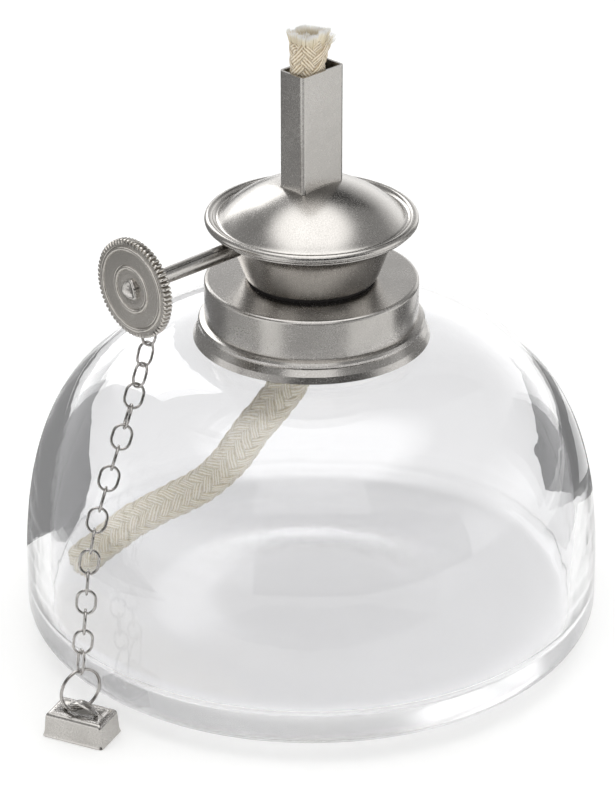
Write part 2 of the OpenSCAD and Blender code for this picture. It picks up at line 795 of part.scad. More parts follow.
glass_reservoir();
collar();
collar_cement();
seal_washer();
thread_shell();
burner_cup();
burner_dome();
wick_tube();
spindle_bracket();
spindle_sleeve();
spindle();
knob();
feed_wheel(-1);  // feed_wheel_outer
feed_wheel(1);  // feed_wheel_inner
wick_top();
wick_middle();
wick_tail();
anchor_ring();
chain_link(1);  // chain_link_01
chain_link(2);  // chain_link_02
chain_link(3);  // chain_link_03
chain_link(4);  // chain_link_04
chain_link(5);  // chain_link_05
chain_link(6);  // chain_link_06
chain_link(7);  // chain_link_07
chain_link(8);  // chain_link_08
chain_link(9);  // chain_link_09
chain_link(10);  // chain_link_10
chain_link(11);  // chain_link_11
chain_link(12);  // chain_link_12
chain_link(13);  // chain_link_13
chain_link(14);  // chain_link_14
chain_link(15);  // chain_link_15
chain_link(16);  // chain_link_16
chain_link(17);  // chain_link_17
chain_link(18);  // chain_link_18
jump_ring();
snuffer_cap();
snuffer_lug();
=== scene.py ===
import math
import random

import bpy
import numpy as np
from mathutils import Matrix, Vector


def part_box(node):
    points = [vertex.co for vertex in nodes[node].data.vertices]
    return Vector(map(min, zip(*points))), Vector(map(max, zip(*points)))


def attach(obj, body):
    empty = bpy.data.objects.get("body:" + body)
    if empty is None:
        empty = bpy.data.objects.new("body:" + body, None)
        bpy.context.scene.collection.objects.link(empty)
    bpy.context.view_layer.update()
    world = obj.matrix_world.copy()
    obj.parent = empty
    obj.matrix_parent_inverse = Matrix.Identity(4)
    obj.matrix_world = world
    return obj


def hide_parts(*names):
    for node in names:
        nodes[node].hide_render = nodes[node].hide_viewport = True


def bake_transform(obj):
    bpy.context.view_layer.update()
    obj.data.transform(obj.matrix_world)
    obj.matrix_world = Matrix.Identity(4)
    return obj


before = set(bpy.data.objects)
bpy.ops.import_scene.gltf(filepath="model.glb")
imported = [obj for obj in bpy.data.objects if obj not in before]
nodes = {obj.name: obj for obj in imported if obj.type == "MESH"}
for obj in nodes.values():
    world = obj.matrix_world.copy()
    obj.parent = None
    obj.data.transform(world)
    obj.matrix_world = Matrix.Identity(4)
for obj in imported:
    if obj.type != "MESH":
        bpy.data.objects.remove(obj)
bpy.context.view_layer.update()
mm = 0.001
print("frame loaded:", len(nodes), "nodes")

# camera

camera = {
    "place": (-0.33384, -0.33986, 0.28048),
    "look": (0.62472, 0.63752, -0.45088),
    "lens": 146.8,
    "sensor": 36,
    "near": 0.05,
    "far": 20,
    # level directions: to the right in the photograph, and away from the camera
    "right": (0.714, -0.700, 0),
    "ahead": (0.700, 0.714, 0),
}


def setCamera(c):
    data = bpy.data.cameras.new("photoCamera")
    data.lens = c["lens"]
    data.sensor_width = c["sensor"]
    data.clip_start = c["near"]
    data.clip_end = c["far"]
    eye = bpy.data.objects.new("photoCamera", data)
    bpy.context.scene.collection.objects.link(eye)
    eye.location = c["place"]
    eye.rotation_euler = Vector(c["look"]).to_track_quat("-Z", "Y").to_euler()
    bpy.context.scene.camera = eye


setCamera(camera)
print("camera set")

# material helpers


def linear(code):
    # sRGB hex to linear
    parts = [int(code[i : i + 2], 16) / 255 for i in (1, 3, 5)]
    return tuple(p / 12.92 if p <= 0.04045 else ((p + 0.055) / 1.055) ** 2.4 for p in parts) + (1.0,)


def addNode(tree, kind, inputs=None, **settings):
    node = tree.nodes.new(kind)
    for name, value in settings.items():
        setattr(node, name, value)
    for name, value in (inputs or {}).items():
        if isinstance(value, bpy.types.NodeSocket):
            tree.links.new(value, node.inputs[name])
        else:
            node.inputs[name].default_value = value
    return node


def startMaterial(name, values):
    material = bpy.data.materials.new(name)
    material.use_nodes = True
    tree = material.node_tree
    tree.nodes.clear()
    shader = addNode(tree, "ShaderNodeBsdfPrincipled", values)
    addNode(tree, "ShaderNodeOutputMaterial", {"Surface": shader.outputs[0]})
    return material, tree, shader


def connect(tree, fromSocket, node, name):
    tree.links.new(fromSocket, node.inputs[name])


def objectPlace(tree):
    return addNode(tree, "ShaderNodeTexCoord").outputs["Object"]


def noise(tree, place, size, detail):
    inputs = {"Vector": place, "Scale": 1 / size, "Detail": detail}
    return addNode(tree, "ShaderNodeTexNoise", inputs).outputs["Fac"]


def reckon(tree, operation, *values):
    return addNode(tree, "ShaderNodeMath", dict(enumerate(values)), operation=operation).outputs[0]


def mapRange(tree, value, low, high, toLow, toHigh):
    inputs = {"Value": value, "From Min": low, "From Max": high, "To Min": toLow, "To Max": toHigh}
    return addNode(tree, "ShaderNodeMapRange", inputs).outputs["Result"]


def ramp(tree, fac, stops):
    node = addNode(tree, "ShaderNodeValToRGB", {"Fac": fac})
    for element, (place, code) in zip(node.color_ramp.elements, stops):
        element.position = place
        element.color = linear(code)
    for place, code in stops[2:]:
        element = node.color_ramp.elements.new(place)
        element.color = linear(code)
    return node.outputs["Color"]


def bump(tree, shader, height, strength, depth):
    node = addNode(tree, "ShaderNodeBump", {"Height": height, "Strength": strength, "Distance": depth})
    connect(tree, node.outputs["Normal"], shader, "Normal")


# metals

nickelLook = {
    "light": "#c4c1bd",
    "dark": "#aeaba7",
    "rough": (0.18, 0.3),
    "grain": 0.22 * mm,  # satin grain, drawn coarser than the real 0.05 mm so that it shows
    "grainDeep": 0.1 * mm,
    "grainBump": 0.005,
    "cloud": 6 * mm,
    "cloudShare": 0.6,
}


def nickelSatin(name, look):
    # Nickel plate on pressed brass, satin-finished: soft grey reflections with a fine sparkle
    material, tree, shader = startMaterial(name, {"Metallic": 1.0})
    place = objectPlace(tree)
    cloud = noise(tree, place, look["cloud"], 3.0)
    grain = noise(tree, place, look["grain"], 2.0)
    both = reckon(tree, "MULTIPLY_ADD", cloud, look["cloudShare"], grain)
    connect(tree, ramp(tree, both, [(0.55, look["dark"]), (1.0, look["light"])]), shader, "Base Color")
    connect(tree, mapRange(tree, both, 0.5, 1.1, *look["rough"]), shader, "Roughness")
    bump(tree, shader, grain, look["grainBump"], look["grainDeep"])
    return material


nickelSheet = nickelSatin("nickelSatinSheet", nickelLook)
# the same plate on drawn wire: smooth, so that it shows sharp lights and darks
nickelWire = nickelSatin(
    "nickelBrightWire",
    {**nickelLook, "light": "#bcb9b6", "dark": "#9c9996", "rough": (0.03, 0.08), "grainBump": 0.002},
)
# the same plate on the turned knob: a little smoother than the sheet
nickelKnob = nickelSatin(
    "nickelTurned", {**nickelLook, "light": "#c6c2bc", "dark": "#b0aca6", "rough": (0.16, 0.28)}
)

# glass, plaster, fibre and cotton

glassLook = {
    "colour": "#f6f6f7",
    "refraction": 1.52,
    "wave": 12 * mm,
    "waveDeep": 0.4 * mm,
    "waveBump": 0.2,
    "dullBelow": 3 * mm,
    "clearAbove": 13 * mm,
    "dull": 0.16,
}
plasterLook = {"dark": "#cfcabf", "light": "#e9e6de", "pore": 0.8 * mm, "poreDeep": 0.15 * mm}
fibreLook = {"dark": "#151313", "light": "#2c2827", "felt": 0.5 * mm, "feltDeep": 0.1 * mm}
cottonLook = {
    "fluff": 0.35 * mm,
    "fluffDeep": 0.12 * mm,
    "wander": 0.09,  # how far the fluff bends the yarns' lines, as a share of the strand
    "ridge": 0.35,
}


def pressedGlass(look):
    # Pressed soda-lime glass: fire-polished walls with a slow waviness, and a foot left dull by the mould
    values = {
        "Base Color": linear(look["colour"]),
        "IOR": look["refraction"],
        "Transmission Weight": 1.0,
    }
    material, tree, shader = startMaterial("glassSodaLime", values)
    place = objectPlace(tree)
    bump(tree, shader, noise(tree, place, look["wave"], 2.5), look["waveBump"], look["waveDeep"])
    height = addNode(tree, "ShaderNodeSeparateXYZ", {"Vector": place}).outputs["Z"]
    dull = mapRange(tree, height, look["dullBelow"], look["clearAbove"], look["dull"], 0.0)
    connect(tree, dull, shader, "Roughness")
    return material


def pouredPlaster(look):
    # Plaster of Paris, poured round the neck: dull white, chalky
    material, tree, shader = startMaterial("plasterOfParis", {"Roughness": 0.95})
    pores = noise(tree, objectPlace(tree), look["pore"], 4.0)
    connect(tree, ramp(tree, pores, [(0.35, look["dark"]), (0.7, look["light"])]), shader, "Base Color")
    bump(tree, shader, pores, 0.4, look["poreDeep"])
    return material


def punchedFibre(look):
    # Vulcanised fibre, punched from sheet: near black, dull, with a felted grain
    material, tree, shader = startMaterial("fibreVulcanised", {"Roughness": 0.7})
    felt = noise(tree, objectPlace(tree), look["felt"], 5.0)
    connect(tree, ramp(tree, felt, [(0.3, look["dark"]), (0.75, look["light"])]), shader, "Base Color")
    bump(tree, shader, felt, 0.5, look["feltDeep"])
    return material


def cottonYarn(name, look, light, dark, yarns, tips=None):
    # Unbleached cotton, braided from flat strands of soft yarn: cream, matt, with a lustre along the yarn
    values = {
        "Roughness": 0.92,
        "Sheen Weight": 0.35,
        "Sheen Roughness": 0.5,
        "Subsurface Weight": 0.15,
        "Subsurface Radius": (0.6, 0.5, 0.35),
        "Subsurface Scale": 0.6 * mm,
    }
    material, tree, shader = startMaterial(name, values)
    strand = addNode(tree, "ShaderNodeUVMap", uv_map="strand").outputs["UV"]
    split = addNode(tree, "ShaderNodeSeparateXYZ", {"Vector": strand})
    fluff = noise(tree, objectPlace(tree), look["fluff"], 3.0)
    wander = reckon(tree, "MULTIPLY_ADD", fluff, look["wander"], split.outputs["Y"])
    ridges = reckon(tree, "SINE", reckon(tree, "MULTIPLY", wander, yarns * 2 * math.pi))
    height = reckon(tree, "MULTIPLY_ADD", ridges, look["ridge"], fluff)
    if tips:  # painted light and shade along each loose yarn: near white at the tip, darker down at its root inside the cut end
        colour = ramp(tree, split.outputs["X"], [(0.15, dark), (0.8, light), (1.0, tips)])
    else:
        # painted shade: the low parts of the yarn pattern, the gaps between the yarns, are coloured darker
        colour = ramp(tree, height, [(0.05, dark), (0.75, light)])
    connect(tree, colour, shader, "Base Color")
    bump(tree, shader, height, 0.55, look["fluffDeep"])
    return material


glass = pressedGlass(glassLook)
plaster = pouredPlaster(plasterLook)
washerFibre = punchedFibre(fibreLook)
# the dark colour of each braid is painted shade in the gaps between its yarns
cotton = cottonYarn("cottonBraid", cottonLook, "#ece0ca", "#a08a68", 4)
tailYarnPaintedReflection = cottonYarn("cottonBraidPaintedReflection", cottonLook, "#fcf7ea", "#dccfb2", 4)  # a paler copy of the braid: painted reflection of the bright room, which the glass lays over the tail
# painted light on the loose yarns' tips and painted shade at their roots
fibres = cottonYarn("cottonFrayedPaintedLight", cottonLook, "#f6ecd4", "#dcc79c", 1, "#fffefb")

finishes = {
    "glass_reservoir": glass,
    "collar_cement": plaster,
    "seal_washer": washerFibre,
    "knob": nickelKnob,
    "anchor_ring": nickelWire,
    "jump_ring": nickelWire,
}
for name, node in nodes.items():
    finish = nickelWire if name.startswith("chain_link") else finishes.get(name, nickelSheet)
    node.data.materials.clear()
    node.data.materials.append(finish)
print("materials assigned")

# mesh helpers, all in mm


def makePiece(name, points, faces, material, body, uv=None, smooth=True):
    mesh = bpy.data.meshes.new(name)
    mesh.from_pydata([tuple(p) for p in np.array(points) * mm], [], faces)
    mesh.validate()
    mesh.update()
    mesh.polygons.foreach_set("use_smooth", [smooth] * len(mesh.polygons))
    if uv is not None:
        layer = mesh.uv_layers.new(name="strand")
        corner = np.zeros(len(mesh.loops), np.int32)
        mesh.loops.foreach_get("vertex_index", corner)
        layer.data.foreach_set("uv", np.asarray(uv, np.float32)[corner].ravel())
    piece = bpy.data.objects.new(name, mesh)
    bpy.context.scene.collection.objects.link(piece)
    piece.data.materials.append(material)
    if body:  # a piece that blends between two bodies has none of its own
        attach(piece, body)
    return piece


def bandFaces(start, rings, sides, closed=False, turned=False):
    # quads from each ring of points to the next, and back to the first where the band is closed
    faces = []
    for i in range(rings if closed else rings - 1):
        low = start + i * sides
        high = start + (i + 1) % rings * sides
        for j in range(sides):
            k = (j + 1) % sides
            if turned:
                faces.append((low + j, high + j, high + k, low + k))
            else:
                faces.append((low + j, low + k, high + k, high + j))
    return faces


def tubeFaces(start, rings, sides):
    # an open band with a cap at each end
    last = start + (rings - 1) * sides
    caps = [tuple(range(start, start + sides))[::-1], tuple(range(last, last + sides))]
    return bandFaces(start, rings, sides) + caps


def catmullRom(p, steps):
    # a curve from the second of the points to the last but one
    out = []
    for i in range(1, len(p) - 2):
        a, b, c, d = p[i - 1 : i + 3]
        square = 2 * a - 5 * b + 4 * c - d
        cube = 3 * b - a - 3 * c + d
        for t in np.linspace(0, 1, steps, endpoint=False):
            out.append(0.5 * (2 * b + (c - a) * t + square * t**2 + cube * t**3))
    out.append(p[-2])
    return np.array(out)


def curveThrough(points, steps=6):
    ends = np.array([points[0], *points, points[-1]], float)
    return [tuple(p) for p in catmullRom(ends, steps)]


def lengthsAlong(path):
    return np.concatenate([[0], np.cumsum(np.linalg.norm(np.diff(path, axis=0), axis=1))])


def smoothRoute(points, step):
    # a curve through the points, resampled at an even step
    p = np.array(points, float)
    curve = catmullRom(np.vstack([2 * p[0] - p[1], p, 2 * p[-1] - p[-2]]), 24)
    along = lengthsAlong(curve)
    even = np.linspace(0, along[-1], int(along[-1] / step) + 1)
    return np.stack([np.interp(even, along, curve[:, k]) for k in range(3)], axis=1)


def carryFrames(path, first):
    # two axes across the path at each point, carried along without twist
    ahead = np.gradient(path, axis=0)
    ahead /= np.linalg.norm(ahead, axis=1)[:, None]
    a = np.array(first, float)
    across = []
    for t in ahead:
        a = a - t * np.dot(a, t)
        a /= np.linalg.norm(a)
        across.append(a.copy())
    across = np.array(across)
    return across, np.cross(ahead, across)


def unitRows(v):
    return v / np.linalg.norm(v, axis=1)[:, None]


def signedPower(values, power):
    return np.sign(values) * np.abs(values) ** power


def braid(path, across, beside, halfA, halfB, strand, power=2.0):
    # strands that wind both ways round an oval section, two over and two under
    count, sides = strand["count"], strand["sides"]
    wide, thick = strand["wide"], strand["thick"]
    along = lengthsAlong(path)
    turn = 2 * math.pi / strand["pitch"] * along
    ring = np.linspace(0, 2 * math.pi, sides, endpoint=False)
    points, faces, uv = [], [], []
    for way in (1, -1):
        for k in range(count):
            angle = 2 * math.pi * k / count + way * turn
            crossing = k + way * turn * count / math.pi
            lift = way * strand["lift"] * np.cos(math.pi / 2 * (k + crossing - 0.5))
            c, s = np.cos(angle), np.sin(angle)
            reachA = halfA * signedPower(c, 2 / power)
            reachB = halfB * signedPower(s, 2 / power)
            base = path + reachA[:, None] * across + reachB[:, None] * beside
            normalA = signedPower(c, 2 - 2 / power) / halfA
            normalB = signedPower(s, 2 - 2 / power) / halfB
            normal = unitRows(normalA[:, None] * across + normalB[:, None] * beside)
            centre = base + normal * lift[:, None]
            ahead = unitRows(np.gradient(centre, axis=0))
            side = unitRows(np.cross(ahead, normal))
            out = np.cross(side, ahead)
            faces += tubeFaces(len(points), len(path), sides)
            for i in range(len(path)):
                for r in ring:
                    flat = side[i] * wide / 2 * math.cos(r)
                    points.append(centre[i] + flat + out[i] * thick / 2 * math.sin(r))
                    uv.append((along[i] / wide, math.cos(r) * 0.5 + 0.5))
    return points, faces, uv


axisNear = 0.01


def roundedPath(path, radius, steps=5):
    # rounds the sharp corners of a closed path with short curves
    out = []
    n = len(path)
    for i in range(n):
        a, b, c = (np.array(path[(i + k) % n], float) for k in (-1, 0, 1))
        u, v = a - b, c - b
        longU, longV = np.linalg.norm(u), np.linalg.norm(v)
        turn = math.degrees(math.acos(np.clip(np.dot(u, v) / (longU * longV), -1, 1)))
        if turn > 150 or b[0] < axisNear:  # nearly straight on, or on the axis
            out.append(tuple(b))
            continue
        cut = min(radius, 0.45 * longU, 0.45 * longV)
        start, end = b + u / longU * cut, b + v / longV * cut
        for t in np.linspace(0, 1, steps):
            out.append(tuple((1 - t) ** 2 * start + 2 * t * (1 - t) * b + t * t * end))
    return out


def lathe(name, path, segments, material, body, place=None):
    # turns a closed path of (radius, height) round the Z axis; points on the axis become one, and
    # place may move a point by its way round
    points, rings, faces = [], [], []
    for r, z in path:
        if r < axisNear:
            rings.append([len(points)] * segments)
            points.append((0, 0, z))
        else:
            rings.append(list(range(len(points), len(points) + segments)))
            for k in range(segments):
                a = 2 * math.pi * k / segments
                far, high = place(r, z, a) if place else (r, z)
                points.append((far * math.cos(a), far * math.sin(a), high))
    for i in range(len(rings)):
        low, high = rings[i], rings[(i + 1) % len(rings)]
        for k in range(segments):
            j = (k + 1) % segments
            face = []
            for v in (low[k], low[j], high[j], high[k]):
                if v not in face:
                    face.append(v)
            if len(face) > 2:
                faces.append(tuple(face))
    return makePiece(name, points, faces, material, body)


# the wick

wick = {
    # from the burner's foot to the end near the glass wall, the same points as in the source
    "tailRoute": [
        (0, 0, 60), (0, 0, 56), (0, 0, 52), (-0.4, 0.4, 48.2), (-1.4, 1.4, 44.6), (-3, 3, 41.2),
        (-4.9, 4.8, 37.8), (-6.8, 6.7, 34.5), (-8.5, 8.3, 31), (-10.3, 10.1, 27.7),
        (-12.5, 12.2, 24.8), (-15.1, 14.8, 22.4), (-18, 17.6, 20.2), (-20.8, 20.4, 17.8),
        (-23.4, 23, 14.9), (-25.9, 25.5, 11.9), (-28.2, 27.7, 9.1),
    ],
    "tailWide": 6.0,
    "tailStep": 0.35,
    "strand": {"count": 8, "wide": 1.75, "thick": 0.7, "lift": 0.22, "pitch": 17.0, "sides": 8},
    "topMiddle": (-0.86, 0.05),
    "topHalf": (2.5, 1.62),
    "topPower": 2.6,  # 2 is an oval, and more is squarer
    "topStep": 0.3,
    "foot": 60.0,
    "split": 82.97,  # the wick stretches below this height and moves as one above it
    "splitGap": 0.1,
    "braidEnd": 102.2,
    "flare": {"from": 98.5, "over": 3.0, "wider": 0.75, "shift": 0.8},  # the cut end opens out
}
fray = {
    "seed": 7,
    "yarns": {"core": 260, "rim": 846, "tuft": 44},
    "sides": 5,
    "rings": 7,
    "thick": (0.1, 0.17),
    "thinner": 0.5,  # share of its thickness that a yarn loses on its way
    "bulge": (-0.3, 0.05),
    "share": {"core": (0.1, 0.8), "rim": (0.82, 1.0), "tuft": (0.82, 1.0)},  # of the way out
    "rootHalf": (2.55, 1.75),
    "rootTop": 100.9,
    "rootDeep": (0.2, 1.3),
    "tipHalf": (3.8, 2.7),  # half sides of the spread tips, to the right and away
    "tipTop": 104.9,
    "tipDeep": (0.35, 0.75),
    "tipIn": 0.06,
    "tipStray": (-0.05, 0.05),
    "room": (3.95, 2.13),  # half sides of the room in the tube, for when the wick is drawn in
    "clumps": 17,
    "clumpOut": (-0.12, 0.16),
    "clumpRise": (-0.5, 0.05),
    "coreDeep": (0.6, 1.5),
    "coreIn": 0.85,
    "tuftWay": -38,  # degrees: one clump hangs out at the side that the photo shows on the right
    "tuftFan": 0.17,
    "tuftHang": (0.7, 2.2),
    "tuftOut": (0.15, 0.5),
}


def makeTail(w):
    path = smoothRoute(w["tailRoute"], w["tailStep"])
    across, beside = carryFrames(path, (1, 0, 0))
    middle = (w["tailWide"] - w["strand"]["thick"]) / 2 - w["strand"]["lift"]
    half = np.full(len(path), middle)
    points, faces, uv = braid(path, across, beside, half, half, w["strand"])
    piece = makePiece("wickTail", points, faces, tailYarnPaintedReflection, "burner", uv)
    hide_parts("wick_tail")


def straightBraid(w, low, high, name, body, node):
    heights = np.arange(low, high, w["topStep"])
    flare = w["flare"]
    wider = np.clip((heights - flare["from"]) / flare["over"], 0, 1) * flare["wider"]
    x, y = w["topMiddle"]
    path = np.stack([x + flare["shift"] * wider, np.full_like(heights, y), heights], 1)
    across = np.tile([1.0, 0, 0], (len(path), 1))
    beside = np.tile([0, 1.0, 0], (len(path), 1))
    halfX, halfY = w["topHalf"]
    flat = np.full_like(heights, halfY)
    points, faces, uv = braid(path, across, beside, halfX + wider, flat, w["strand"], w["topPower"])
    piece = makePiece(name, points, faces, cotton, body, uv)
    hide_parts(node)
    return piece


def yarnEnds(f, rng, kind, clumps, middle):
    # root and tip of one yarn, with the way out from the middle
    angle = rng.uniform(0, 2 * math.pi)
    if kind == "tuft":
        angle = math.radians(f["tuftWay"]) + rng.gauss(0, f["tuftFan"])
    out, rise = clumps[int(angle % (2 * math.pi) / (2 * math.pi) * len(clumps)) % len(clumps)]
    a, b = math.cos(angle), math.sin(angle)
    toRight = camera["right"][0] * a + camera["right"][1] * b
    toBack = camera["ahead"][0] * a + camera["ahead"][1] * b
    reach = 1 / math.hypot(toRight / f["tipHalf"][0], toBack / f["tipHalf"][1])
    share = rng.uniform(*f["share"][kind])
    x, y = middle
    halfX, halfY = f["rootHalf"]
    root = Vector((x + a * share * halfX, y + b * share * halfY, f["rootTop"] - rng.uniform(*f["rootDeep"])))
    wide = (share - f["tipIn"]) * (1 + out) + rng.uniform(*f["tipStray"])
    top = f["tipTop"] - rng.uniform(*f["tipDeep"]) + rise
    if kind == "core":
        top -= rng.uniform(*f["coreDeep"])
        wide *= f["coreIn"]
    if kind == "tuft":
        top -= rng.uniform(*f["tuftHang"])
        wide += rng.uniform(*f["tuftOut"])
    roomX, roomY = f["room"]
    tip = Vector((x + a * wide * reach, y + b * wide * reach, top))
    tip.x = min(max(tip.x, -roomX), roomX)
    tip.y = min(max(tip.y, -roomY), roomY)
    return root, tip, a, b


def makeFray(f, middle):
    # loose yarn ends that stand out of the braid's cut end
    rng = random.Random(f["seed"])
    clumps = [(rng.uniform(*f["clumpOut"]), rng.uniform(*f["clumpRise"])) for _ in range(f["clumps"])]
    kinds = [kind for kind, count in f["yarns"].items() for _ in range(count)]
    points, faces, uv = [], [], []
    for kind in kinds:
        root, tip, a, b = yarnEnds(f, rng, kind, clumps, middle)
        bulge = rng.uniform(*f["bulge"])
        thick = rng.uniform(*f["thick"])
        faces += tubeFaces(len(points), f["rings"], f["sides"])
        for i in range(f["rings"]):
            t = i / (f["rings"] - 1)
            c = root.lerp(tip, t)
            c.x += bulge * math.sin(t * math.pi) * a
            c.y += bulge * math.sin(t * math.pi) * b
            r = thick / 2 * (1 - f["thinner"] * t**3)
            for j in range(f["sides"]):
                q = 2 * math.pi * j / f["sides"]
                points.append((c.x + r * math.cos(q), c.y + r * math.sin(q), c.z))
                uv.append((t, j / f["sides"]))
    makePiece("wickFray", points, faces, fibres, "wick", uv)


makeTail(wick)
straightBraid(wick, wick["split"], wick["braidEnd"], "wickTop", "wick", "wick_top")
middleTop = wick["split"] - wick["splitGap"]
middle = straightBraid(wick, wick["foot"], middleTop, "wickMiddle", None, "wick_middle")
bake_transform(middle)
makeFray(fray, wick["topMiddle"])
print("wick braided")

# glass reservoir

reservoir = {
    # radii and heights of the turned profile, from the foot up
    "recess": 1.0,
    "recessEase": 14,
    "foot": 34.4,
    "footWide": 6.4,
    "heelHigh": 6.2,
    "heelPower": 2.12,
    "radius": 47.5,
    "crownPower": 2.76,
    "crownHigh": 52.3,
    "crown": 12.0,
    "neck": 15.8,
    "neckTop": 60.42,
    "bore": 11.4,
    "wall": 3.5,
    "floor": 5.5,
    "crownThin": 0.3,  # what the wall loses under the crown
    "round": 0.5,
    "around": 192,
    "crownSteps": 72,
    "footSteps": 24,
    "innerSteps": 18,
}


def ellipseArc(fromR, toR, fromZ, toZ, power, steps):
    arc = []
    for a in np.radians(np.linspace(0, 90, steps + 1)):
        r = toR + (fromR - toR) * math.cos(a) ** (2 / power)
        arc.append((r, fromZ + (toZ - fromZ) * math.sin(a) ** (2 / power)))
    return arc


def crownAt(g, r):
    power = g["crownPower"]
    share = ((r - g["crown"]) / (g["radius"] - g["crown"])) ** (power / 2)
    return g["heelHigh"] + (g["crownHigh"] - g["heelHigh"]) * math.sin(math.acos(share)) ** (2 / power)


def makeGlass(g):
    innerR = g["radius"] - g["wall"]
    innerFoot = g["foot"] + g["wall"] / 2
    innerHeel = g["floor"] + g["wall"]
    innerCrown = g["crownHigh"] - g["wall"] + g["crownThin"]
    ringIn = g["foot"] - g["footWide"]
    path = [(0, g["recess"])]
    for t in np.linspace(0, 1, g["footSteps"] + 1):
        r = ringIn + (t - 1) * g["recessEase"]
        path.append((r, g["recess"] * (0.5 + 0.5 * math.cos(math.pi * t))))
    for a in np.radians(np.linspace(0, 90, g["footSteps"] + 1)):
        r = g["foot"] + (g["radius"] - g["foot"]) * math.sin(a) ** (2 / g["heelPower"])
        path.append((r, g["heelHigh"] * (1 - math.cos(a) ** (2 / g["heelPower"]))))
    power, steps = g["crownPower"], g["crownSteps"]
    dome = ellipseArc(g["radius"], g["crown"], g["heelHigh"], g["crownHigh"], power, steps)[1:]
    path += [(r, z) for r, z in dome if r > g["neck"] + g["round"]]
    path += [(g["neck"], crownAt(g, g["neck"])), (g["neck"], g["neckTop"]), (g["bore"], g["neckTop"])]
    path += ellipseArc(innerR, g["bore"], innerHeel, innerCrown, power, steps)[::-1]
    for a in np.radians(np.linspace(90, 0, g["innerSteps"] + 1))[1:]:
        r = innerFoot + (innerR - innerFoot) * math.sin(a)
        path.append((r, innerHeel - (innerHeel - g["floor"]) * math.cos(a)))
    path.append((0, g["floor"]))
    rounded = roundedPath(path, g["round"])
    piece = lathe("glassReservoir", rounded, g["around"], glass, "reservoir")
    piece.visible_shadow = False  # it would lie dark on the floor, where real glass lets light through
    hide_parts("glass_reservoir")


makeGlass(reservoir)
print("glass turned")

# burner shells

burner = {
    "sheet": 0.35,
    "around": 160,
    "domeTop": (5.28, 78.2),  # where the tube's corners meet the dome
    "domeRound": 21.0,
    "domeFrom": 4.0,
    "domeEdge": 14.6,
    "domeSteps": 40,
    "tube": (4.5, 2.66, 0.7),  # half sides and corner of the hole for the wick tube
    "valley": [(14.95, 72.68), (15.3, 72.58)],
    "bead": (16.36, 72.43, 0.73),  # its middle's radius and height, and its own radius
    "beadTurn": (150, -76, -3.0),  # degrees round the bead: from, up to, and step
    "crease": (-14, 6, 0.08),  # the hem's line round the bead: degrees, width, depth
    "under": [(16.2, 71.55), (15.3, 71.9), (14.5, 72.4)],
    "cupFloor": (7.9, 62.56),
    "cup": [
        (9.95, 62.56), (10.5, 62.7), (10.82, 63.1), (11.3, 64.3), (11.95, 66.1), (12.7, 68.0),
        (13.55, 69.6), (14.7, 70.75), (15.7, 71.2), (16.35, 71.4),
    ],
    "washer": (8.7, 10.25, 62.12, 62.55),  # inner and outer radius, bottom and top
    "washerRound": 0.12,
    "washerAround": 96,
}


def sheetOf(line, thick):
    # the same line laid back a sheet's thickness to its right makes the closed section
    line = np.array(line, float)
    way = unitRows(np.gradient(line, axis=0))
    back = line + np.stack([way[:, 1], -way[:, 0]], 1) * thick
    return [tuple(p) for p in line] + [tuple(p) for p in back[::-1]]


def roundedReach(half, angle):
    # how far a rounded rectangle reaches from its middle at an angle
    a, b, corner = half
    c, d = abs(math.cos(angle)), abs(math.sin(angle))
    flat = min(a / max(c, 1e-9), b / max(d, 1e-9))
    if flat * c < a - corner or flat * d < b - corner:
        return flat
    x, y = a - corner, b - corner
    along = x * c + y * d
    return along + math.sqrt(max(along**2 - x**2 - y**2 + corner**2, 0))


def makeDome(b):
    topR, topZ = b["domeTop"]
    big, first, edge = b["domeRound"], b["domeFrom"], b["domeEdge"]

    def capAt(r):
        return topZ + math.sqrt(big**2 - r**2) - math.sqrt(big**2 - topR**2)

    def roundTube(r, z, angle):
        # draws the cap's inner edge to the tube's outline, less and less towards the rim
        if r > edge or z < capAt(edge) - 2 * b["sheet"]:
            return r, z
        new = roundedReach(b["tube"], angle)
        new += (edge - new) * (r - first) / (edge - first)
        return new, z + capAt(new) - capAt(r)

    cap = [(r, capAt(r)) for r in np.linspace(first, edge, b["domeSteps"])]
    middleR, middleZ, beadR = b["bead"]
    at, wide, deep = b["crease"]
    bead = []
    for a in np.arange(*b["beadTurn"]):
        r = beadR - deep * math.exp(-(((a - at) / wide) ** 2))
        bead.append((middleR + r * math.cos(math.radians(a)), middleZ + r * math.sin(math.radians(a))))
    valley = curveThrough([cap[-1], *b["valley"], bead[0]], 5)
    inside = [(r, z - b["sheet"]) for r, z in cap[::-3]]  # a third of the points is enough there
    line = cap[:-1] + valley[:-1] + bead + b["under"] + inside
    dome = lathe("burnerDome", line, b["around"], nickelSheet, "burner", roundTube)
    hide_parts("burner_dome")


def makeCup(b):
    section = sheetOf([b["cupFloor"]] + curveThrough(b["cup"]), -b["sheet"])
    cup = lathe("burnerCup", section, b["around"], nickelSheet, "burner")
    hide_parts("burner_cup")


def makeWasher(b):
    inner, outer, low, high = b["washer"]
    ring = roundedPath([(inner, low), (outer, low), (outer, high), (inner, high)], b["washerRound"])
    washer = lathe("sealWasher", ring, b["washerAround"], washerFibre, "seal")
    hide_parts("seal_washer")


makeDome(burner)
makeCup(burner)
makeWasher(burner)
print("burner shells turned")

# knob and spindle

